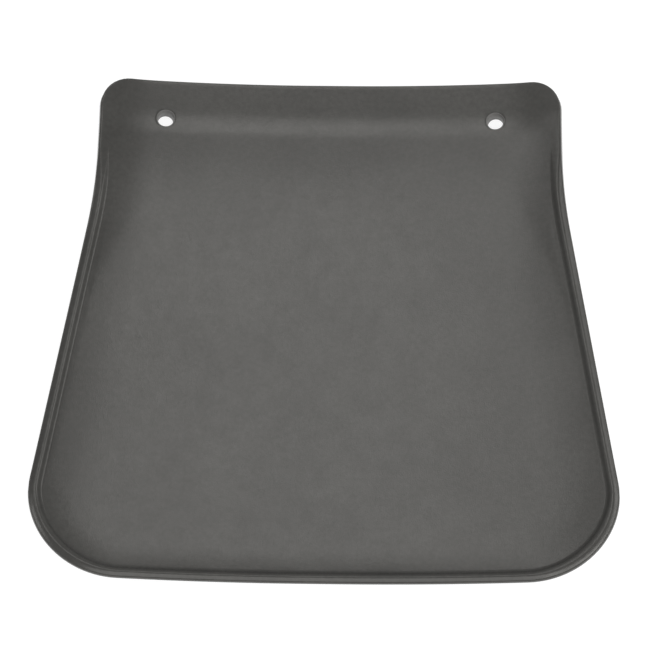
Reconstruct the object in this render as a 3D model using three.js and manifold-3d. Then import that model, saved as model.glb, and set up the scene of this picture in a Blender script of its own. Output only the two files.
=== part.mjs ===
// Moulded rubber mud flap for a light truck, lying on its back with its dished front face up.
// Millimetres, +Z up out of the front face, +Y towards the bolted edge, X across the flap.
// The origin is on the floor, under the middle of the flap.

import * as THREE from 'three';
import { mergeVertices } from 'three/addons/utils/BufferGeometryUtils.js';
import Module from 'manifold-3d';

// Outline
const FLAP_LENGTH = 298.8;
const BAND_HALF_WIDTH = 126.6;
const TOP_CORNER_RADIUS = 16.5;
const BOTTOM_CORNER_RADIUS = 47.5;
const SIDE_TAPER = 0.143;
const FLARE_INSET = 69;
const FLARE_REACH = 25;

// Thickness, and how far the sheet is dished
const PANEL_THICKNESS = 2.6;
const BAND_THICKNESS = 6.4;
const THICKENING_START_INSET = 170;
const THICKENING_END_INSET = 44;
const BOW_HEIGHT = 7;
const MIDDLE_HALF_WIDTH = 8;
const EDGE_CURL_SLOPE = 0.06;
const EDGE_CURL_REACH = 34;
const SIDE_CURL_SLOPE = 0.1;
const SIDE_CURL_REACH = 11;
const SIDE_CURL_TOP_REACH = 28;
const SIDE_CURL_TOP_START = 10;
const SIDE_CURL_TOP_END = 80;
const BOTTOM_CURL_SLOPE = 0.14;
const BOTTOM_CURL_REACH = 22;
const CURL_CHANGE_START = 20;
const CURL_CHANGE_END = 70;
const TOP_CURL_SLOPE = 0.2;
const TOP_CURL_FLAT = 17;
const TOP_CURL_BEND = 16;

// Flex line, where the flap swings below its bolted band
const FLEX_INSET = 41;
const FLEX_GAP = 5.5;

// Moulded bead along the sides and the bottom
const BEAD_HEIGHT = 1.8;
const BEAD_CREST_INSET = 2.8;
const BEAD_WIDTH = 6.7;
const BEAD_START_INSET = 42;
const BEAD_FADE_LENGTH = 34;

// Bolt holes and the bushes that line them
const HOLE_SPACING = 180;
const HOLE_INSET = 23.1;
const BUSH_RADIUS = 5.2;
const BUSH_BORE_RADIUS = 4.2;
const BUSH_PROUD = 0.3;
const BUSH_GAP = 0.3;
const ROUND_SEGMENTS = 32;

// Mesh density
const BAND_COLUMNS = 27;
const BAND_CORNER_ROWS = 5;
const BAND_ROW_PITCH = 12;
const TOP_STEPS = 21;
const SIDE_STEPS = 18;
const CORNER_STEPS = 10;
const BOTTOM_STEPS = 19;
const INNER_SHARES = [0, 0.3, 0.6, 0.85];
const RIM_INSETS = [EDGE_CURL_REACH, 22, 13];
const BEAD_INSETS = [BEAD_WIDTH, 5.5, 4.1, BEAD_CREST_INSET, 1.6, 0.6, 0];

// Places worked out from the sizes above
const TOP_Y = FLAP_LENGTH / 2;
const BOTTOM_Y = -FLAP_LENGTH / 2;
const HOLE_Y = TOP_Y - HOLE_INSET;
const FLEX_Y = TOP_Y - FLEX_INSET;
const FLARE_Y = TOP_Y - FLARE_INSET;
const BEAD_TOP_Y = TOP_Y - BEAD_START_INSET;
const PANEL_TOP_Y = FLEX_Y - FLEX_GAP / 2;
const PANEL_CENTRE_Y = (PANEL_TOP_Y + BOTTOM_Y) / 2;
const TAPER_ANGLE = Math.atan(SIDE_TAPER);
const CORNER_X = BAND_HALF_WIDTH + SIDE_TAPER * (FLARE_Y - BOTTOM_Y);
const CORNER_TURN = Math.PI / 2 + TAPER_ANGLE;
const ARC_X = CORNER_X - BOTTOM_CORNER_RADIUS * Math.tan(CORNER_TURN / 2);
const ARC_Y = BOTTOM_Y + BOTTOM_CORNER_RADIUS;
const ARC_TOP_Y = ARC_Y + BOTTOM_CORNER_RADIUS * Math.sin(TAPER_ANGLE);

const wasm = await Module();
wasm.setup();

function smoothstep(low, high, value) {
  const t = Math.min(1, Math.max(0, (value - low) / (high - low)));
  return t * t * (3 - 2 * t);
}

// Half the width of the flap at a height y: parallel sides, a soft flare, a straight taper, round corners
function halfWidth(y) {
  if (y > TOP_Y - TOP_CORNER_RADIUS) {
    const up = y - (TOP_Y - TOP_CORNER_RADIUS);
    const across = Math.sqrt(Math.max(0, TOP_CORNER_RADIUS ** 2 - up ** 2));
    return BAND_HALF_WIDTH - TOP_CORNER_RADIUS + across;
  }
  if (y < ARC_TOP_Y) {
    const across = Math.sqrt(Math.max(0, BOTTOM_CORNER_RADIUS ** 2 - (y - ARC_Y) ** 2));
    return ARC_X + across;
  }
  const below = FLARE_Y - y;
  if (below < -FLARE_REACH) return BAND_HALF_WIDTH;
  if (below > FLARE_REACH) return BAND_HALF_WIDTH + SIDE_TAPER * below;
  return BAND_HALF_WIDTH + SIDE_TAPER * (below + FLARE_REACH) ** 2 / (4 * FLARE_REACH);
}

// Distance from a point to the nearest side or to the bottom edge
function edgeDistance(x, y) {
  const across = Math.abs(x);
  if (y < ARC_Y && across > ARC_X) {
    return BOTTOM_CORNER_RADIUS - Math.hypot(across - ARC_X, y - ARC_Y);
  }
  return Math.min(halfWidth(Math.min(y, TOP_Y - TOP_CORNER_RADIUS)) - across, y - BOTTOM_Y);
}

// Rise towards an edge: it starts level at a reach inside it, and has its full slope at the edge
function curl(inset, slope, reach) {
  return slope * reach / 2 * Math.max(0, 1 - Math.max(0, inset) / reach) ** 2;
}

// Height of the back face: flat in the middle, bowed across, with its edges curling up
function backHeight(x, y) {
  const beyondMiddle = Math.max(0, Math.abs(x) - MIDDLE_HALF_WIDTH);
  const bow = BOW_HEIGHT * (beyondMiddle / (BAND_HALF_WIDTH - MIDDLE_HALF_WIDTH)) ** 2;
  const inset = edgeDistance(x, y);
  const edgeCurl = curl(inset, EDGE_CURL_SLOPE, EDGE_CURL_REACH);
  const sideReach = SIDE_CURL_REACH
    + (SIDE_CURL_TOP_REACH - SIDE_CURL_REACH) * smoothstep(SIDE_CURL_TOP_START, SIDE_CURL_TOP_END, y);
  const sideShare = smoothstep(BOTTOM_Y + CURL_CHANGE_START, BOTTOM_Y + CURL_CHANGE_END, y);
  const sideCurl = curl(inset, SIDE_CURL_SLOPE, sideReach) * sideShare;
  const bottomCurl = curl(inset, BOTTOM_CURL_SLOPE, BOTTOM_CURL_REACH) * (1 - sideShare);
  const past = TOP_CURL_FLAT + TOP_CURL_BEND - (TOP_Y - y);
  const inBend = Math.min(Math.max(past, 0), TOP_CURL_BEND);
  const inFlat = Math.max(past - TOP_CURL_BEND, 0);
  const topCurl = TOP_CURL_SLOPE * (inBend ** 2 / (2 * TOP_CURL_BEND) + inFlat);
  return bow + edgeCurl + sideCurl + bottomCurl + topCurl;
}

// Direction straight out of the back face towards the front one
function frontNormal(x, y) {
  const step = 0.5;
  const slopeX = (backHeight(x + step, y) - backHeight(x - step, y)) / (2 * step);
  const slopeY = (backHeight(x, y + step) - backHeight(x, y - step)) / (2 * step);
  return new THREE.Vector3(-slopeX, -slopeY, 1).normalize();
}

// The point at a height above the back face, measured square to it
function aboveBack(x, y, height) {
  return new THREE.Vector3(x, y, backHeight(x, y)).addScaledVector(frontNormal(x, y), height);
}

function sheetThickness(y) {
  const share = smoothstep(TOP_Y - THICKENING_START_INSET, TOP_Y - THICKENING_END_INSET, y);
  return PANEL_THICKNESS + (BAND_THICKNESS - PANEL_THICKNESS) * share;
}

function evenRows(from, to) {
  const count = Math.ceil(Math.abs(to - from) / BAND_ROW_PITCH);
  return Array.from({ length: count + 1 }, (_, i) => from + (to - from) * i / count);
}

// A closed sheet between the first and the last row, which follows the outline and the dished back
function curvedSheet(rows) {
  const sheet = new THREE.BoxGeometry(2, 2, 2, BAND_COLUMNS, rows.length - 1, 1);
  const position = sheet.getAttribute('position');
  for (let i = 0; i < position.count; i += 1) {
    const row = Math.round((position.getY(i) + 1) / 2 * (rows.length - 1));
    const y = rows[row];
    const x = Math.sin(position.getX(i) * Math.PI / 2) * halfWidth(y);
    const height = position.getZ(i) > 0 ? sheetThickness(y) : 0;
    position.setXYZ(i, ...aboveBack(x, y, height));
  }
  return sheet;
}

// Points round the panel at a distance inside its outline, anticlockwise from its top right corner
function panelRing(inset) {
  const topY = PANEL_TOP_Y - inset;
  const topX = halfWidth(topY) - inset;
  const radius = BOTTOM_CORNER_RADIUS - inset;
  const sideEndY = ARC_Y + radius * Math.sin(TAPER_ANGLE);
  const half = [];
  for (let i = 0; i < SIDE_STEPS; i += 1) {
    const y = topY + (sideEndY - topY) * i / SIDE_STEPS;
    const slope = halfWidth(y - 0.5) - halfWidth(y + 0.5);
    half.push([halfWidth(y) - inset * Math.hypot(1, slope), y]);
  }
  for (let i = 0; i < CORNER_STEPS; i += 1) {
    const angle = TAPER_ANGLE - CORNER_TURN * i / CORNER_STEPS;
    half.push([ARC_X + radius * Math.cos(angle), ARC_Y + radius * Math.sin(angle)]);
  }
  const left = half.map(([x, y]) => [-x, y]);
  const right = half.toReversed();
  const top = Array.from({ length: TOP_STEPS - 1 }, (_, i) => [topX * (1 - 2 * (i + 1) / TOP_STEPS), topY]);
  const bottom = Array.from({ length: BOTTOM_STEPS + 1 }, (_, i) => [
    ARC_X * (2 * i / BOTTOM_STEPS - 1), BOTTOM_Y + inset]);
  return [...top, ...left, ...bottom, ...right];
}

// How far the bead stands above the sheet: a round outer edge, and a longer hollow slope inside
function beadRise(inset) {
  if (inset >= BEAD_WIDTH) return 0;
  if (inset > BEAD_CREST_INSET) {
    const down = (inset - BEAD_CREST_INSET) / (BEAD_WIDTH - BEAD_CREST_INSET);
    return BEAD_HEIGHT * (1 + Math.cos(Math.PI * down)) / 2;
  }
  return BEAD_HEIGHT * Math.sqrt(1 - (1 - inset / BEAD_CREST_INSET) ** 2);
}

// The panel's section from the middle of its back, round its edge, to the middle of its front
function panelSection() {
  const inner = INNER_SHARES.map((share) => ({ share, inset: EDGE_CURL_REACH }));
  const rim = RIM_INSETS.map((inset) => ({ share: 1, inset }));
  const bead = BEAD_INSETS.map((inset) => ({ share: 1, inset }));
  const back = [...inner, ...rim, bead[0], bead.at(-1)].map((place) => ({ ...place, isFront: false }));
  const front = [...inner, ...rim, ...bead].map((place) => ({ ...place, isFront: true }));
  return [...back, ...front.toReversed()];
}

function panelSheet() {
  const section = panelSection();
  const rings = section.map((place) => panelRing(place.inset));
  const steps = rings[0].length;
  const profile = section.map((place, i) => new THREE.Vector2(place.share, i));
  const sheet = new THREE.LatheGeometry(profile, steps);
  const position = sheet.getAttribute('position');
  for (let i = 0; i < position.count; i += 1) {
    const place = section[i % section.length];
    const ring = rings[i % section.length];
    const [edgeX, edgeY] = ring[Math.floor(i / section.length) % steps];
    const x = edgeX * place.share;
    const y = PANEL_CENTRE_Y + (edgeY - PANEL_CENTRE_Y) * place.share;
    const fade = smoothstep(0, BEAD_FADE_LENGTH, BEAD_TOP_Y - y);
    const front = sheetThickness(y) + beadRise(place.inset) * fade;
    position.setXYZ(i, ...aboveBack(x, y, place.isFront ? front : 0));
  }
  sheet.computeVertexNormals();
  return sheet;
}

function solidFrom(geometry) {
  const bare = geometry.clone();
  bare.deleteAttribute('normal');
  bare.deleteAttribute('uv');
  const merged = mergeVertices(bare, 1e-4);
  const vertProperties = new Float32Array(merged.getAttribute('position').array);
  const triVerts = new Uint32Array(merged.index.array);
  return new wasm.Manifold(new wasm.Mesh({ numProp: 3, vertProperties, triVerts }));
}

function geometryFrom(solid) {
  const mesh = solid.getMesh();
  const geometry = new THREE.BufferGeometry();
  geometry.setAttribute('position', new THREE.BufferAttribute(mesh.vertProperties, 3));
  geometry.setIndex(new THREE.BufferAttribute(mesh.triVerts, 1));
  geometry.computeVertexNormals();
  return geometry;
}

// Stands a shape that is made along +Z square to the sheet in a bolt hole, with its origin on the back face
function placeInHole(shape, side) {
  const hole = aboveBack(side * HOLE_SPACING / 2, HOLE_Y, -BAND_THICKNESS);
  const normal = frontNormal(hole.x, hole.y);
  shape.quaternion.setFromUnitVectors(new THREE.Vector3(0, 0, 1), normal);
  shape.position.set(hole.x, hole.y, backHeight(hole.x, hole.y));
}

function holeCutter(side) {
  const cutter = new THREE.CylinderGeometry(
    BUSH_RADIUS + BUSH_GAP, BUSH_RADIUS + BUSH_GAP, 4 * BAND_THICKNESS, ROUND_SEGMENTS);
  cutter.rotateX(Math.PI / 2);
  const placed = new THREE.Object3D();
  placeInHole(placed, side);
  placed.updateMatrix();
  cutter.applyMatrix4(placed.matrix);
  return solidFrom(cutter);
}

function mountingBand(material) {
  const bend = evenRows(TOP_Y - TOP_CURL_FLAT - TOP_CURL_BEND, TOP_Y - TOP_CORNER_RADIUS);
  const corner = Array.from({ length: BAND_CORNER_ROWS }, (_, i) => {
    const angle = Math.PI / 2 * (i + 1) / BAND_CORNER_ROWS;
    return TOP_Y - TOP_CORNER_RADIUS * (1 - Math.sin(angle));
  });
  let solid = solidFrom(curvedSheet([FLEX_Y + FLEX_GAP / 2, ...bend, ...corner]));
  for (const side of [-1, 1]) {
    solid = solid.subtract(holeCutter(side));
  }
  const mesh = new THREE.Mesh(geometryFrom(solid), material);
  mesh.name = 'mounting_band';
  return mesh;
}

function flapPanel(material) {
  const mesh = new THREE.Mesh(panelSheet(), material);
  mesh.name = 'flap_panel';
  return mesh;
}

// A plain tube that keeps the bolt from crushing the rubber, a little proud of both faces
function boltBush(name, side, material) {
  const profile = [
    new THREE.Vector2(BUSH_BORE_RADIUS, -BUSH_PROUD),
    new THREE.Vector2(BUSH_RADIUS, -BUSH_PROUD),
    new THREE.Vector2(BUSH_RADIUS, BAND_THICKNESS + BUSH_PROUD),
    new THREE.Vector2(BUSH_BORE_RADIUS, BAND_THICKNESS + BUSH_PROUD),
    new THREE.Vector2(BUSH_BORE_RADIUS, -BUSH_PROUD),
  ];
  const tube = new THREE.LatheGeometry(profile, ROUND_SEGMENTS);
  tube.rotateX(Math.PI / 2);
  const mesh = new THREE.Mesh(tube, material);
  mesh.name = name;
  placeInHole(mesh, side);
  return mesh;
}

const rubber = new THREE.MeshStandardMaterial({ color: 0x3a3a39, roughness: 0.62, metalness: 0 });
const liner = new THREE.MeshStandardMaterial({ color: 0x6b6a66, roughness: 0.5, metalness: 0 });

const flap = new THREE.Group();
flap.add(mountingBand(rubber));
flap.add(flapPanel(rubber.clone()));
flap.add(boltBush('left_bolt_bush', -1, liner));
flap.add(boltBush('right_bolt_bush', 1, liner.clone()));

export default flap;
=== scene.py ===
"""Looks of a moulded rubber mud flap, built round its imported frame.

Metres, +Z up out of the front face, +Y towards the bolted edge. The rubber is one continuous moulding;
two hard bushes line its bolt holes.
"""

import math

import bmesh
import bpy
import numpy as np
from mathutils import Matrix, Vector


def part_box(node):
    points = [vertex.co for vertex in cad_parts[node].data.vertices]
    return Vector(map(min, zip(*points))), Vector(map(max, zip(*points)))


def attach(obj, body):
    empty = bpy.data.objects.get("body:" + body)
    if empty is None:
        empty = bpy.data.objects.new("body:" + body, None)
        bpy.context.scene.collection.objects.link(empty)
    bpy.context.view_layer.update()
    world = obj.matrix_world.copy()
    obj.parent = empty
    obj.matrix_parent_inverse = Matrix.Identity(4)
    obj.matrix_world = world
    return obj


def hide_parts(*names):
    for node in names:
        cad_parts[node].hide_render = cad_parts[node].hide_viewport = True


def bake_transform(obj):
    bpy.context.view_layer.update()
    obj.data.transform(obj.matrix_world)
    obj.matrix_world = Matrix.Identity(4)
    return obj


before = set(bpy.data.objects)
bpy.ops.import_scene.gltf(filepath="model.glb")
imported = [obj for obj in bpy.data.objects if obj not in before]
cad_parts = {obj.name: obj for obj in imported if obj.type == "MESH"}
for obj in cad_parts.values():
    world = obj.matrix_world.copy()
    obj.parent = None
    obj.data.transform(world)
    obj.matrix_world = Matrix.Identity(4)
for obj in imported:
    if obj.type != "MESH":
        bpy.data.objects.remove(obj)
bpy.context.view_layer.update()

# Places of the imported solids
BAND_LOW, BAND_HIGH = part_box("mounting_band")
PANEL_LOW, PANEL_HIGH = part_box("flap_panel")

# Outline
TOP_Y = BAND_HIGH.y
BOTTOM_Y = PANEL_LOW.y
BAND_HALF_WIDTH = BAND_HIGH.x
TOP_CORNER_RADIUS = 0.0165
BOTTOM_CORNER_RADIUS = 0.0475
SIDE_TAPER = 0.143
FLARE_INSET = 0.069
FLARE_REACH = 0.025

# Thickness, and how far the sheet is dished
PANEL_THICKNESS = 0.0026
BAND_THICKNESS = 0.0064
THICKENING_START_INSET = 0.170
THICKENING_END_INSET = 0.044
BOW_HEIGHT = 0.007
MIDDLE_HALF_WIDTH = 0.008
EDGE_CURL_SLOPE = 0.06
EDGE_CURL_REACH = 0.034
SIDE_CURL_SLOPE = 0.10
SIDE_CURL_REACH = 0.011
SIDE_CURL_TOP_REACH = 0.028
SIDE_CURL_TOP_START = 0.010
SIDE_CURL_TOP_END = 0.080
BOTTOM_CURL_SLOPE = 0.14
BOTTOM_CURL_REACH = 0.022
CURL_CHANGE_START = 0.020
CURL_CHANGE_END = 0.070
TOP_CURL_SLOPE = 0.20
TOP_CURL_FLAT = 0.017
TOP_CURL_BEND = 0.016

# Edge and bead section
RIM_WIDTH = 0.009
EDGE_RADIUS = 0.0008
BACK_EDGE_RADIUS = 0.0012
BEAD_HEIGHT = 0.0018
BEAD_CREST_INSET = 0.0029
BEAD_BOTTOM_NARROWING = 0.0009
BEAD_CORNER_WIDENING = 0.0013
BEAD_OUTER_POWER = 1.5
FLANK_INSET = 0.0050
FLANK_HALF_WIDTH = 0.0018
FLANK_START_HALF_WIDTH = 0.0004
BEAD_START_INSET = 0.041
BEAD_RAMP_LENGTH = 0.034
LEDGE_WIDTH = 0.0003
LEDGE_EDGE = 0.0001

# Bolt holes and bushes
HOLE_X = 0.090
HOLE_Y = TOP_Y - 0.0231
HOLE_RADIUS = 0.00524
HOLE_EDGE_RADIUS = 0.00025
HOLE_PATCH = 0.0105
BUSH_RADIUS = 0.0052
BUSH_BORE_RADIUS = 0.0042
BUSH_MOUTH_RADIUS = 0.0048
BUSH_MOUTH_DEPTH = 0.0022
BUSH_CHAMFER = 0.00015
BUSH_PROUD = 0.0003
BUSH_STEPS = 96

# Mesh density
COLUMNS = 110
CORNER_STEPS = 5
LOWER_CORNER_STEPS = 14
SIDE_STEPS = 118
FLANK_ROWS = 9
ROUND_ROWS = 8

# Colours, roughness from smoothest to roughest, and surface relief
RUBBER_DARK = (0.037, 0.0362, 0.0338, 1)
RUBBER_LIGHT = (0.046, 0.0450, 0.0420, 1)
RUBBER_SHEEN = (1, 0.988, 0.955, 1)
RUBBER_ROUGHNESS = (0.220, 0.250)
DENT_STRENGTH = 0.35
DENT_DEPTH = 0.0001
GRAIN_STRENGTH = 0.25
GRAIN_DEPTH = 0.0002
BUSH_DARK = (0.10, 0.098, 0.093, 1)
BUSH_LIGHT = (0.135, 0.132, 0.126, 1)
BUSH_ROUGHNESS = (0.42, 0.55)
NOISE_LOW = 0.3
NOISE_HIGH = 0.7

# Floor
FLOOR_HALF_SIZE = 6.0
FLOOR_HEIGHT = -0.0003
FLOOR_COLOUR = (0.2, 0.2, 0.2, 1)
FLOOR_GLOW = 0.9

# Camera
CAMERA_AZIMUTH = math.radians(-1.84)
CAMERA_ELEVATION = math.radians(60.79)
CAMERA_ROLL = math.radians(-1.03)
CAMERA_DISTANCE = 1.825
CAMERA_TARGET = Vector((-0.0024, 0.0052, 0))
SENSOR_WIDTH = 36
FOCAL_LENGTH = 191.5

# Lamps: small keys above and behind, whose mirror image lights the sheet, and a ring of big ones for the rim.
# Each has an azimuth and an elevation in degrees and a size in metres. Brightness is how bright its face looks.
SURROUNDINGS_STRENGTH = 0.4
LAMP_DISTANCE = 2.2
KEY_BRIGHTNESS = 3.0
KEYS = (
    ("key_middle", 0, 60, 0.3),
    ("key_high", 0, 68, 0.45),
    ("key_low", -15, 52, 0.35),
    ("key_left", -45, 55, 0.35),
)
SIDE_BRIGHTNESS = 2.5
SIDES = (
    ("back_right", 60, 35, 0.7),
    ("right", 90, 35, 1.0),
    ("front_right", 120, 35, 1.0),
    ("left", -90, 35, 1.0),
)
WIDE_BRIGHTNESS = 1.6
WIDES = (
    ("front_right_wide", 135, 30, 2.0),
    ("front_wide", 180, 30, 1.7),
)

# Outline places worked out from the sizes above
FLARE_Y = TOP_Y - FLARE_INSET
BEAD_TOP_Y = TOP_Y - BEAD_START_INSET
TAPER_ANGLE = math.atan(SIDE_TAPER)
CORNER_TURN = math.pi / 2 + TAPER_ANGLE
ARC_X = (BAND_HALF_WIDTH + SIDE_TAPER * (FLARE_Y - BOTTOM_Y)
         - BOTTOM_CORNER_RADIUS * math.tan(CORNER_TURN / 2))
ARC_Y = BOTTOM_Y + BOTTOM_CORNER_RADIUS
ARC_TOP_Y = ARC_Y + BOTTOM_CORNER_RADIUS * math.sin(TAPER_ANGLE)


def smoothstep(low, high, value):
    t = np.clip((value - low) / (high - low), 0, 1)
    return t * t * (3 - 2 * t)


# ---------------------------------------------------------------- shape of the sheet

def side_width(y):
    """Half the width above the lower corners: parallel sides, then a soft flare, then a straight taper."""
    below = np.clip(FLARE_Y - y, -FLARE_REACH, FLARE_REACH)
    flare = SIDE_TAPER * (below + FLARE_REACH) ** 2 / (4 * FLARE_REACH)
    straight = SIDE_TAPER * np.maximum(FLARE_Y - FLARE_REACH - y, 0)
    return BAND_HALF_WIDTH + flare + straight


def edge_distance(x, y):
    """Distance from a point to the nearest side or to the bottom edge."""
    across = np.abs(x)
    corner = BOTTOM_CORNER_RADIUS - np.hypot(across - ARC_X, y - ARC_Y)
    sides = np.minimum(side_width(y) - across, y - BOTTOM_Y)
    return np.where((y < ARC_Y) & (across > ARC_X), corner, sides)


def curl(inset, slope, reach):
    """Rise towards an edge: it starts level at a reach inside it, and has its full slope at the edge."""
    return slope * reach / 2 * np.maximum(0, 1 - np.maximum(0, inset) / reach) ** 2


def back_height(x, y):
    """Height of the back face: flat in the middle, bowed across, and curling up towards every edge."""
    beyond_middle = np.maximum(0, np.abs(x) - MIDDLE_HALF_WIDTH)
    bow = BOW_HEIGHT * (beyond_middle / (BAND_HALF_WIDTH - MIDDLE_HALF_WIDTH)) ** 2
    inset = edge_distance(x, y)
    edge_curl = curl(inset, EDGE_CURL_SLOPE, EDGE_CURL_REACH)
    side_reach = SIDE_CURL_REACH + (SIDE_CURL_TOP_REACH - SIDE_CURL_REACH) * smoothstep(
        SIDE_CURL_TOP_START, SIDE_CURL_TOP_END, y)
    side_share = smoothstep(BOTTOM_Y + CURL_CHANGE_START, BOTTOM_Y + CURL_CHANGE_END, y)
    side_curl = curl(inset, SIDE_CURL_SLOPE, side_reach) * side_share
    bottom_curl = curl(inset, BOTTOM_CURL_SLOPE, BOTTOM_CURL_REACH) * (1 - side_share)
    past = TOP_CURL_FLAT + TOP_CURL_BEND - (TOP_Y - y)
    in_bend = np.clip(past, 0, TOP_CURL_BEND)
    in_flat = np.maximum(past - TOP_CURL_BEND, 0)
    top_curl = TOP_CURL_SLOPE * (in_bend ** 2 / (2 * TOP_CURL_BEND) + in_flat)
    return bow + edge_curl + side_curl + bottom_curl + top_curl


def back_slope(x, y):
    """Slopes of the back face along X and along Y."""
    step = 0.0005
    along_x = (back_height(x + step, y) - back_height(x - step, y)) / (2 * step)
    along_y = (back_height(x, y + step) - back_height(x, y - step)) / (2 * step)
    return along_x, along_y


def sheet_thickness(y):
    share = smoothstep(TOP_Y - THICKENING_START_INSET, TOP_Y - THICKENING_END_INSET, y)
    return PANEL_THICKNESS + (BAND_THICKNESS - PANEL_THICKNESS) * share


def sheet_points(plan, height):
    """Points at a height square to the back face, over points of the plan. plan is (..., 2)."""
    x, y = plan[..., 0], plan[..., 1]
    slope_x, slope_y = back_slope(x, y)
    length = np.sqrt(1 + slope_x ** 2 + slope_y ** 2)
    return np.stack([
        x - slope_x / length * height,
        y - slope_y / length * height,
        back_height(x, y) + height / length,
    ], axis=-1)


# ---------------------------------------------------------------- outline

def arc(centre, radius, start, end, steps):
    """Places on an arc with the direction outwards at each, without the last place."""
    angles = start + (end - start) * np.arange(steps) / steps
    out = np.stack([np.cos(angles), np.sin(angles)], axis=-1)
    return np.array(centre) + radius * out, out


def top_half():
    """From the middle of the top edge to the middle of the top right corner."""
    straight_steps = COLUMNS // 2 - CORNER_STEPS
    flat_x = BAND_HALF_WIDTH - TOP_CORNER_RADIUS
    xs = flat_x * np.arange(straight_steps) / straight_steps
    line = np.stack([xs, np.full_like(xs, TOP_Y)], axis=-1)
    up = np.tile([0.0, 1.0], (straight_steps, 1))
    corner = (flat_x, TOP_Y - TOP_CORNER_RADIUS)
    bend, bend_out = arc(corner, TOP_CORNER_RADIUS, math.pi / 2, math.pi / 4, CORNER_STEPS)
    end, end_out = arc(corner, TOP_CORNER_RADIUS, math.pi / 4, 0, 1)
    return np.vstack([line, bend, end]), np.vstack([up, bend_out, end_out])


def bottom_half():
    """From the middle of the bottom edge to the middle of the bottom right corner."""
    straight_steps = COLUMNS // 2 - LOWER_CORNER_STEPS
    xs = ARC_X * np.arange(straight_steps) / straight_steps
    line = np.stack([xs, np.full_like(xs, BOTTOM_Y)], axis=-1)
    down = np.tile([0.0, -1.0], (straight_steps, 1))
    middle = TAPER_ANGLE - CORNER_TURN / 2
    bend, bend_out = arc((ARC_X, ARC_Y), BOTTOM_CORNER_RADIUS, -math.pi / 2, middle, LOWER_CORNER_STEPS)
    end, end_out = arc((ARC_X, ARC_Y), BOTTOM_CORNER_RADIUS, middle, 0, 1)
    return np.vstack([line, bend, end]), np.vstack([down, bend_out, end_out])


def right_side():
    """From the middle of the bottom right corner up to the middle of the top right corner."""
    middle = TAPER_ANGLE - CORNER_TURN / 2
    low, low_out = arc((ARC_X, ARC_Y), BOTTOM_CORNER_RADIUS, middle, TAPER_ANGLE, LOWER_CORNER_STEPS)
    ys = ARC_TOP_Y + (TOP_Y - TOP_CORNER_RADIUS - ARC_TOP_Y) * np.arange(SIDE_STEPS) / SIDE_STEPS
    step = 0.0002
    lean = (side_width(ys - step) - side_width(ys + step)) / (2 * step)
    side = np.stack([side_width(ys), ys], axis=-1)
    side_out = np.stack([np.ones_like(lean), lean], axis=-1) / np.hypot(1, lean)[:, None]
    corner = (BAND_HALF_WIDTH - TOP_CORNER_RADIUS, TOP_Y - TOP_CORNER_RADIUS)
    high, high_out = arc(corner, TOP_CORNER_RADIUS, 0, math.pi / 4, CORNER_STEPS)
    end, end_out = arc(corner, TOP_CORNER_RADIUS, math.pi / 4, 0, 1)
    return np.vstack([low, side, high, end]), np.vstack([low_out, side_out, high_out, end_out])


def mirrored(pairs):
    return pairs * np.array([-1.0, 1.0])


def whole(half):
    """A row from left to right, from its right half that starts in the middle."""
    return np.vstack([mirrored(half[:0:-1]), half])


def outline():
    """The four sides of the plan, each a row of places and outward directions: top, bottom, left, right."""
    top, bottom, right = top_half(), bottom_half(), right_side()
    return {
        "top": tuple(whole(part) for part in top),
        "bottom": tuple(whole(part) for part in bottom),
        "left": tuple(mirrored(part) for part in right),
        "right": right,
    }


def inner_grid(sides):
    """Plan of the sheet inside its rim: rows from the bottom up, columns from left to right."""
    edge = {name: places - RIM_WIDTH * out for name, (places, out) in sides.items()}
    rows, columns = len(edge["left"]), len(edge["top"])
    u = np.linspace(0, 1, columns)[None, :, None]
    v = np.linspace(0, 1, rows)[:, None, None]
    across = (1 - u) * edge["left"][:, None] + u * edge["right"][:, None]
    along = (1 - v) * edge["bottom"][None] + v * edge["top"][None]
    corners = ((1 - u) * (1 - v) * edge["bottom"][0] + u * (1 - v) * edge["bottom"][-1]
               + (1 - u) * v * edge["top"][0] + u * v * edge["top"][-1])
    return across + along - corners


def loop_of(grid):
    """The outer cells of a grid of indices, once round: up the left, along the top, down the right, back."""
    return np.concatenate([grid[:-1, 0], grid[-1, :-1], grid[:0:-1, -1], grid[0, :0:-1]])


# ---------------------------------------------------------------- rubber moulding

def edge_drop(out, share):
    """How far the edge has come down on the way out: a plain round where share is 0, the bead's slope at 1."""
    return (1 - math.sqrt(1 - out ** 2)) * (1 - share) + out ** BEAD_OUTER_POWER * share


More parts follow.
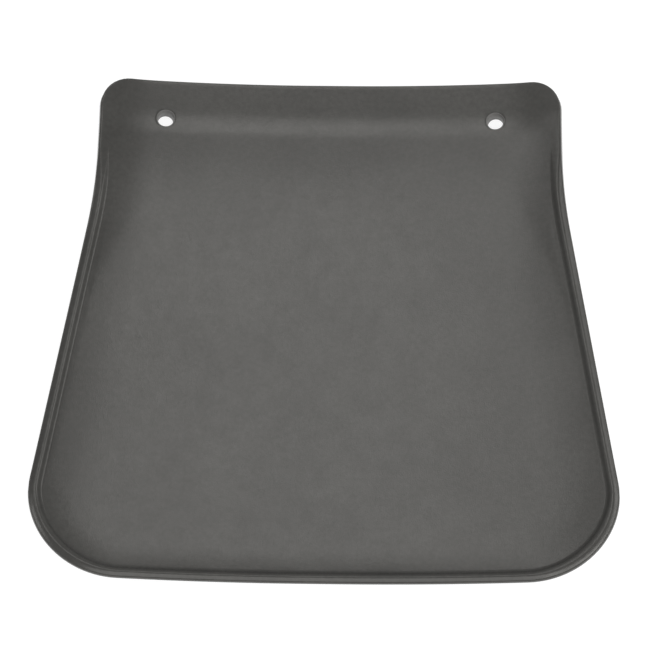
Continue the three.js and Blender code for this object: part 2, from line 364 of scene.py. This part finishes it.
def rim_section(rise, thickness, downwards, sideways):
    """Rows of (inset, height) from the front inside the bead, over it and round the edge, to the back.

    downwards and sideways are the parts of the direction out of the edge. The bead is narrower along the
    bottom, and wider round the lower corners.
    """
    share = rise / BEAD_HEIGHT
    level = np.zeros_like(share)
    widening = BEAD_CORNER_WIDENING * 2 * downwards * sideways
    full_crest = BEAD_CREST_INSET - BEAD_BOTTOM_NARROWING * downwards + widening / 2
    crest = EDGE_RADIUS + (full_crest - EDGE_RADIUS) * share
    flank_half = FLANK_START_HALF_WIDTH + (FLANK_HALF_WIDTH - FLANK_START_HALF_WIDTH) * share
    foot = FLANK_INSET + flank_half + widening
    flank_top = FLANK_INSET - flank_half + widening - BEAD_BOTTOM_NARROWING * downwards / 2
    shoulder = thickness - EDGE_RADIUS * (1 - share)
    ledge = LEDGE_EDGE * 0.4 + LEDGE_WIDTH * share
    rows = []
    for t in (0.35, 0.7, 1.0):
        rows.append((RIM_WIDTH + (foot - RIM_WIDTH) * t, thickness))
    for t in np.arange(1, FLANK_ROWS + 1) / FLANK_ROWS:
        rows.append((foot + (flank_top - foot) * t, thickness + rise * (1 - math.cos(math.pi * t)) / 2))
    for t in (0.5, 1.0):
        rows.append((flank_top + (crest - flank_top) * t, thickness + rise))
    for t in np.arange(1, ROUND_ROWS + 1) / ROUND_ROWS:
        out = min(math.sin(math.pi / 2 * t), 1)
        inset = crest + (ledge - crest) * out
        rows.append((inset, thickness + rise - (thickness + rise - shoulder) * edge_drop(out, share)))
    rows.append((ledge * 0.3, shoulder - LEDGE_EDGE * 0.2))
    rows.append((level, shoulder - LEDGE_EDGE))
    for t in (0.33, 0.67, 1.0):
        rows.append((level, shoulder - LEDGE_EDGE + (BACK_EDGE_RADIUS - shoulder + LEDGE_EDGE) * t))
    for t in (0.33, 0.67, 1.0):
        angle = math.pi / 2 * t
        rows.append((BACK_EDGE_RADIUS * (1 - math.cos(angle)) + level,
                     BACK_EDGE_RADIUS * (1 - math.sin(angle)) + level))
    for t in (0.25, 0.6):
        rows.append((BACK_EDGE_RADIUS + (RIM_WIDTH - BACK_EDGE_RADIUS) * t + level, level))
    return rows


class Skin:
    """Vertices and faces of one closed mesh while it is put together."""

    def __init__(self):
        self.points = []
        self.faces = []
        self.count = 0

    def add(self, points):
        """Adds points (..., 3) and gives their indices in the same layout."""
        shape = points.shape[:-1]
        number = int(np.prod(shape))
        self.points.append(points.reshape(-1, 3))
        self.count += number
        return np.arange(self.count - number, self.count).reshape(shape)

    def bridge(self, one, other):
        """Quads between two closed loops of the same length."""
        after = np.roll(one, -1), np.roll(other, -1)
        self.faces.extend(np.stack([one, after[0], after[1], other], axis=-1).tolist())

    def patch(self, grid, kept):
        """Quads over a grid of indices where kept is true."""
        quads = np.stack([grid[:-1, :-1], grid[:-1, 1:], grid[1:, 1:], grid[1:, :-1]], axis=-1)
        self.faces.extend(quads[kept].tolist())

    def mesh(self, name):
        points = np.vstack(self.points)
        faces = np.array(self.faces)
        used, faces = np.unique(faces, return_inverse=True)
        made = bpy.data.meshes.new(name)
        made.from_pydata(points[used].tolist(), [], faces.reshape(-1, 4).tolist())
        build = bmesh.new()
        build.from_mesh(made)
        bmesh.ops.recalc_face_normals(build, faces=build.faces)
        build.to_mesh(made)
        build.free()
        made.polygons.foreach_set("use_smooth", np.ones(len(made.polygons), bool))
        made.update()
        return made


def hole_plan(side):
    """Centre of a bolt hole on the back face, so that it comes out at its place on the front."""
    x, y = side * HOLE_X, HOLE_Y
    slope_x, slope_y = back_slope(np.array(x), np.array(y))
    return np.array([x + float(slope_x) * BAND_THICKNESS, y + float(slope_y) * BAND_THICKNESS])


def hole_block(plan, centre):
    """Rows and columns of the grid that a bolt hole's own rings stand in for."""
    middle_row = plan[:, plan.shape[1] // 2, 1]
    rows = np.nonzero(np.abs(middle_row - centre[1]) < HOLE_PATCH)[0]
    across = plan[rows[len(rows) // 2], :, 0]
    columns = np.nonzero(np.abs(across - centre[0]) < HOLE_PATCH)[0]
    return slice(rows[0], rows[-1] + 1), slice(columns[0], columns[-1] + 1)


def cut_hole(skin, plan, front, back, centre):
    """Rings from the grid in to a bolt hole, its rounded edges and its wall. Gives the block it fills."""
    block = hole_block(plan, centre)
    around = loop_of(np.arange(plan[..., 0].size).reshape(plan.shape[:2])[block])
    start = plan.reshape(-1, 2)[around]
    first = math.atan2(*(start[0] - centre)[::-1])
    angles = first - 2 * math.pi * np.arange(len(around)) / len(around)
    out = np.stack([np.cos(angles), np.sin(angles)], axis=-1)
    lip = centre + (HOLE_RADIUS + HOLE_EDGE_RADIUS) * out
    rings = []
    for share in (0.3, 0.6, 0.85):
        rings.append((start + (lip - start) * share, 0.0))
    for t in (0, 0.33, 0.67, 1.0):
        angle = math.pi / 2 * t
        radius = HOLE_RADIUS + HOLE_EDGE_RADIUS * (1 - math.sin(angle))
        rings.append((centre + radius * out, HOLE_EDGE_RADIUS * (1 - math.cos(angle))))
    ends = []
    for grid, is_front in ((front, True), (back, False)):
        last = loop_of(grid[block])
        for places, drop in rings:
            height = sheet_thickness(places[:, 1]) - drop if is_front else np.full(len(places), drop)
            ring = skin.add(sheet_points(places, height))
            skin.bridge(last, ring)
            last = ring
        ends.append(last)
    places = rings[-1][0]
    middle = skin.add(sheet_points(places, sheet_thickness(places[:, 1]) / 2))
    skin.bridge(ends[0], middle)
    skin.bridge(middle, ends[1])
    return block


def rubber_flap():
    """The whole moulding as one closed skin."""
    skin = Skin()
    sides = outline()
    plan = inner_grid(sides)
    front = skin.add(sheet_points(plan, sheet_thickness(plan[..., 1])))
    back = skin.add(sheet_points(plan, np.zeros(plan.shape[:2])))
    kept = np.ones((plan.shape[0] - 1, plan.shape[1] - 1), bool)
    for side in (-1, 1):
        rows, columns = cut_hole(skin, plan, front, back, hole_plan(side))
        kept[rows.start:rows.stop - 1, columns.start:columns.stop - 1] = False
    skin.patch(front, kept)
    skin.patch(back, kept)
    left, top, right, bottom = (sides[name] for name in ("left", "top", "right", "bottom"))
    places, out = (np.vstack([left[k][:-1], top[k][:-1], right[k][:0:-1], bottom[k][:0:-1]]) for k in (0, 1))
    rise = BEAD_HEIGHT * smoothstep(0, BEAD_RAMP_LENGTH, BEAD_TOP_Y - places[:, 1])
    last = loop_of(front)
    downwards, sideways = np.clip(-out[:, 1], 0, 1), np.abs(out[:, 0])
    for inset, height in rim_section(rise, sheet_thickness(places[:, 1]), downwards, sideways):
        ring = skin.add(sheet_points(places - inset[:, None] * out, height))
        skin.bridge(last, ring)
        last = ring
    skin.bridge(last, loop_of(back))
    made = bpy.data.objects.new("rubber_flap", skin.mesh("rubber_flap"))
    bpy.context.scene.collection.objects.link(made)
    return made


# ---------------------------------------------------------------- bushes

def bolt_bush(name, side):
    """A turned bush, square to the sheet: chamfered ends, and a mouth that flares to lead the bolt in."""
    centre = hole_plan(side)
    slope_x, slope_y = back_slope(*centre)
    normal = Vector((-float(slope_x), -float(slope_y), 1)).normalized()
    low, high = -BUSH_PROUD, BAND_THICKNESS + BUSH_PROUD
    section = [
        (BUSH_RADIUS, low + BUSH_CHAMFER),
        (BUSH_RADIUS, high - BUSH_CHAMFER),
        (BUSH_RADIUS - BUSH_CHAMFER * 0.3, high - BUSH_CHAMFER * 0.3),
        (BUSH_RADIUS - BUSH_CHAMFER, high),
        (BUSH_MOUTH_RADIUS + BUSH_CHAMFER * 0.6, high),
        (BUSH_MOUTH_RADIUS, high - BUSH_CHAMFER * 0.6),
    ]
    for t in (0.25, 0.5, 0.75, 1.0):
        ease = math.sin(t * math.pi / 2)
        section.append((BUSH_MOUTH_RADIUS + (BUSH_BORE_RADIUS - BUSH_MOUTH_RADIUS) * ease,
                        high - BUSH_CHAMFER - BUSH_MOUTH_DEPTH * t))
    section += [
        (BUSH_BORE_RADIUS, low + BUSH_CHAMFER),
        (BUSH_BORE_RADIUS + BUSH_CHAMFER, low),
        (BUSH_RADIUS - BUSH_CHAMFER, low),
    ]
    skin = Skin()
    angles = 2 * math.pi * np.arange(BUSH_STEPS) / BUSH_STEPS
    loops = []
    for radius, height in section:
        level = np.full_like(angles, height)
        ring = np.stack([radius * np.cos(angles), radius * np.sin(angles), level], axis=-1)
        loops.append(skin.add(ring))
    for one, other in zip(loops, loops[1:] + loops[:1]):
        skin.bridge(one, other)
    made = bpy.data.objects.new(name, skin.mesh(name))
    bpy.context.scene.collection.objects.link(made)
    origin = Vector((*centre, float(back_height(*centre))))
    turn = Vector((0, 0, 1)).rotation_difference(normal).to_matrix().to_4x4()
    made.data.transform(Matrix.Translation(origin) @ turn)
    return made


# ---------------------------------------------------------------- materials

def new_material(name):
    material = bpy.data.materials.new(name)
    material.use_nodes = True
    return material, material.node_tree.nodes, material.node_tree.links


def noise(nodes, links, place, scale, detail):
    made = nodes.new("ShaderNodeTexNoise")
    made.inputs["Scale"].default_value = scale
    made.inputs["Detail"].default_value = detail
    links.new(place, made.inputs["Vector"])
    return made.outputs["Fac"]


def spread(nodes, links, value, to_low, to_high):
    """The usual range of a noise, stretched to run from one value to another."""
    made = nodes.new("ShaderNodeMapRange")
    made.inputs["From Min"].default_value = NOISE_LOW
    made.inputs["From Max"].default_value = NOISE_HIGH
    made.inputs["To Min"].default_value = to_low
    made.inputs["To Max"].default_value = to_high
    links.new(value, made.inputs["Value"])
    return made.outputs["Result"]


def rubber_material():
    material, nodes, links = new_material("moulded_rubber")
    shader = nodes["Principled BSDF"]
    place = nodes.new("ShaderNodeTexCoord").outputs["Object"]
    clouds = noise(nodes, links, place, 22, 3)
    mottle = noise(nodes, links, place, 130, 2)
    specks = noise(nodes, links, place, 420, 2)
    grain = noise(nodes, links, place, 1500, 2)

    colour = nodes.new("ShaderNodeMix")
    colour.data_type = "RGBA"
    colour.inputs["A"].default_value = RUBBER_DARK
    colour.inputs["B"].default_value = RUBBER_LIGHT
    links.new(spread(nodes, links, clouds, 0, 1), colour.inputs["Factor"])
    flecked = nodes.new("ShaderNodeMix")
    flecked.data_type = "RGBA"
    flecked.blend_type = "MULTIPLY"
    flecked.inputs["Factor"].default_value = 1
    links.new(colour.outputs["Result"], flecked.inputs["A"])
    links.new(spread(nodes, links, specks, 0.9, 1.1), flecked.inputs["B"])
    links.new(flecked.outputs["Result"], shader.inputs["Base Color"])

    links.new(spread(nodes, links, mottle, *RUBBER_ROUGHNESS), shader.inputs["Roughness"])
    shader.inputs["Specular Tint"].default_value = RUBBER_SHEEN
    dents = nodes.new("ShaderNodeBump")
    dents.inputs["Strength"].default_value = DENT_STRENGTH
    dents.inputs["Distance"].default_value = DENT_DEPTH
    links.new(mottle, dents.inputs["Height"])
    bump = nodes.new("ShaderNodeBump")
    bump.inputs["Strength"].default_value = GRAIN_STRENGTH
    bump.inputs["Distance"].default_value = GRAIN_DEPTH
    links.new(grain, bump.inputs["Height"])
    links.new(dents.outputs["Normal"], bump.inputs["Normal"])
    links.new(bump.outputs["Normal"], shader.inputs["Normal"])
    return material


def bush_material():
    material, nodes, links = new_material("bush_plastic")
    shader = nodes["Principled BSDF"]
    place = nodes.new("ShaderNodeTexCoord").outputs["Object"]
    specks = noise(nodes, links, place, 900, 3)
    colour = nodes.new("ShaderNodeMix")
    colour.data_type = "RGBA"
    colour.inputs["A"].default_value = BUSH_DARK
    colour.inputs["B"].default_value = BUSH_LIGHT
    links.new(specks, colour.inputs["Factor"])
    links.new(colour.outputs["Result"], shader.inputs["Base Color"])
    links.new(spread(nodes, links, specks, *BUSH_ROUGHNESS), shader.inputs["Roughness"])
    return material


# ---------------------------------------------------------------- stage

def floor():
    skin = Skin()
    corners = FLOOR_HALF_SIZE * np.array([[-1, -1], [1, -1], [1, 1], [-1, 1]])
    corner_places = skin.add(np.hstack([corners, np.full((4, 1), FLOOR_HEIGHT)]))
    skin.faces.append(corner_places.tolist())
    made = bpy.data.objects.new("floor", skin.mesh("floor"))
    bpy.context.scene.collection.objects.link(made)
    material, nodes, links = new_material("pale_floor")
    shader = nodes["Principled BSDF"]
    shader.inputs["Base Color"].default_value = FLOOR_COLOUR
    shader.inputs["Roughness"].default_value = 0.9
    shader.inputs["Specular IOR Level"].default_value = 0
    shader.inputs["Emission Color"].default_value = (1, 1, 1, 1)
    shader.inputs["Emission Strength"].default_value = FLOOR_GLOW
    made.data.materials.append(material)


def camera():
    azimuth, elevation, roll = CAMERA_AZIMUTH, CAMERA_ELEVATION, CAMERA_ROLL
    ahead = Vector((math.sin(azimuth) * math.cos(elevation), math.cos(azimuth) * math.cos(elevation),
                    -math.sin(elevation)))
    level_right = Vector((math.cos(azimuth), -math.sin(azimuth), 0))
    level_up = level_right.cross(ahead)
    right = math.cos(roll) * level_right + math.sin(roll) * level_up
    up = math.cos(roll) * level_up - math.sin(roll) * level_right
    turn = Matrix((right, up, -ahead)).transposed().to_4x4()
    data = bpy.data.cameras.new("camera")
    data.sensor_width = SENSOR_WIDTH
    data.lens = FOCAL_LENGTH
    data.clip_end = 50
    made = bpy.data.objects.new("camera", data)
    bpy.context.scene.collection.objects.link(made)
    made.matrix_world = Matrix.Translation(CAMERA_TARGET - CAMERA_DISTANCE * ahead) @ turn
    bpy.context.scene.camera = made


def softbox(name, azimuth, elevation, size, brightness):
    """A square lamp aimed at the flap. Azimuth 0 is behind it along +Y, and 90 is along +X."""
    a, e = math.radians(azimuth), math.radians(elevation)
    towards = Vector((math.sin(a) * math.cos(e), math.cos(a) * math.cos(e), math.sin(e)))
    data = bpy.data.lights.new(name, "AREA")
    data.shape = "SQUARE"
    data.size = size
    data.energy = brightness * math.pi * size ** 2
    made = bpy.data.objects.new(name, data)
    bpy.context.scene.collection.objects.link(made)
    made.location = towards * LAMP_DISTANCE
    made.rotation_mode = "QUATERNION"
    made.rotation_quaternion = towards.to_track_quat("Z", "Y")


def lights():
    for group, brightness in ((KEYS, KEY_BRIGHTNESS), (SIDES, SIDE_BRIGHTNESS), (WIDES, WIDE_BRIGHTNESS)):
        for name, azimuth, elevation, size in group:
            softbox(name, azimuth, elevation, size, brightness)
    world = bpy.data.worlds.new("world")
    world.use_nodes = True
    surroundings = world.node_tree.nodes["Background"]
    surroundings.inputs["Color"].default_value = (1, 1, 1, 1)
    surroundings.inputs["Strength"].default_value = SURROUNDINGS_STRENGTH
    bpy.context.scene.world = world
    bpy.context.scene.view_settings.view_transform = "Standard"


camera()
floor()
lights()

flap = rubber_flap()
flap.data.materials.append(rubber_material())
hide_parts("mounting_band", "flap_panel")
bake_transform(flap)

liner = bush_material()
for bush_name, side in (("left_bush", -1), ("right_bush", 1)):
    bush = bolt_bush(bush_name, side)
    bush.data.materials.append(liner)
    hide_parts({-1: "left_bolt_bush", 1: "right_bolt_bush"}[side])
    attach(bush, "band")
